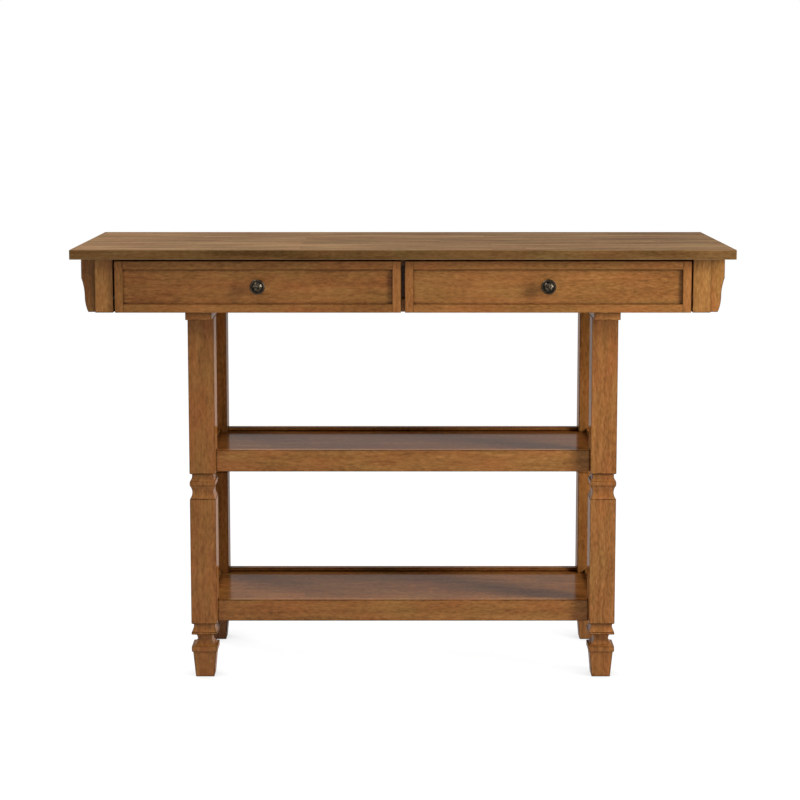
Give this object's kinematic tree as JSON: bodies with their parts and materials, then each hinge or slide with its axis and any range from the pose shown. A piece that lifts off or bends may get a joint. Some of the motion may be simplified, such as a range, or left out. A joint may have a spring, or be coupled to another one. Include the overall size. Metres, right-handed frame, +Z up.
{
  "type": "kitchen island",
  "caption": "Long wooden kitchen island with an overhanging drawer case, square milled legs and open framed shelves below, for working on and for storage.",
  "frame": {"origin": "on the floor under the middle of the top", "axes": "+X to the right seen from the front, +Y towards the back, +Z up; the drawers open towards -Y"},
  "size_m": [1.352, 0.47, 0.914],
  "materials": {
    "top_wood": "satin lacquer",
    "frame_wood": "satin lacquer",
    "drawer_box_wood": "clear sealed",
    "dowel_wood": "raw, fluted beech",
    "knob_metal": "antique bronze",
    "steel": "zinc plated"
  },
  "bodies": {
    "island": {"back_panel": "frame_wood", "bolt_nuts": "steel", "centre_divider": "frame_wood", "dowels": "dowel_wood", "front_bottom_rail": "frame_wood", "front_left_corner_post": "frame_wood", "front_left_leg": "frame_wood", "front_right_corner_post": "frame_wood", "front_right_leg": "frame_wood", "front_top_rail": "frame_wood", "hanger_bolts": "steel", "left_bearer": "frame_wood", "left_end_panel": "frame_wood", "left_inner_runner": "drawer_box_wood", "left_outer_runner": "drawer_box_wood", "lower_shelf_front_rail": "frame_wood", "lower_shelf_left_rail": "frame_wood", "lower_shelf_panel": "frame_wood", "lower_shelf_rear_rail": "frame_wood", "lower_shelf_right_rail": "frame_wood", "middle_shelf_front_rail": "frame_wood", "middle_shelf_left_rail": "frame_wood", "middle_shelf_panel": "frame_wood", "middle_shelf_rear_rail": "frame_wood", "middle_shelf_right_rail": "frame_wood", "rear_left_corner_post": "frame_wood", "rear_left_leg": "frame_wood", "rear_right_corner_post": "frame_wood", "rear_right_leg": "frame_wood", "rear_top_rail": "frame_wood", "right_bearer": "frame_wood", "right_end_panel": "frame_wood", "right_inner_runner": "drawer_box_wood", "right_outer_runner": "drawer_box_wood", "top_panel": "top_wood", "wood_screws": "steel"},
    "left_drawer": {"left_drawer_back": "drawer_box_wood", "left_drawer_bottom": "drawer_box_wood", "left_drawer_bottom_rail": "frame_wood", "left_drawer_inner_side": "drawer_box_wood", "left_drawer_inner_stile": "frame_wood", "left_drawer_knob": "knob_metal", "left_drawer_knob_screw": "steel", "left_drawer_outer_side": "drawer_box_wood", "left_drawer_outer_stile": "frame_wood", "left_drawer_panel": "frame_wood", "left_drawer_stop": "drawer_box_wood", "left_drawer_top_rail": "frame_wood"},
    "right_drawer": {"right_drawer_back": "drawer_box_wood", "right_drawer_bottom": "drawer_box_wood", "right_drawer_bottom_rail": "frame_wood", "right_drawer_inner_side": "drawer_box_wood", "right_drawer_inner_stile": "frame_wood", "right_drawer_knob": "knob_metal", "right_drawer_knob_screw": "steel", "right_drawer_outer_side": "drawer_box_wood", "right_drawer_outer_stile": "frame_wood", "right_drawer_panel": "frame_wood", "right_drawer_stop": "drawer_box_wood", "right_drawer_top_rail": "frame_wood"}
  },
  "joints": [
    {"name": "left_drawer_slide", "type": "slide", "parent": "island", "child": "left_drawer", "axis": [0, -1, 0], "range_m": [0, 0.25]},
    {"name": "right_drawer_slide", "type": "slide", "parent": "island", "child": "right_drawer", "axis": [0, -1, 0], "range_m": [0, 0.25]}
  ]
}
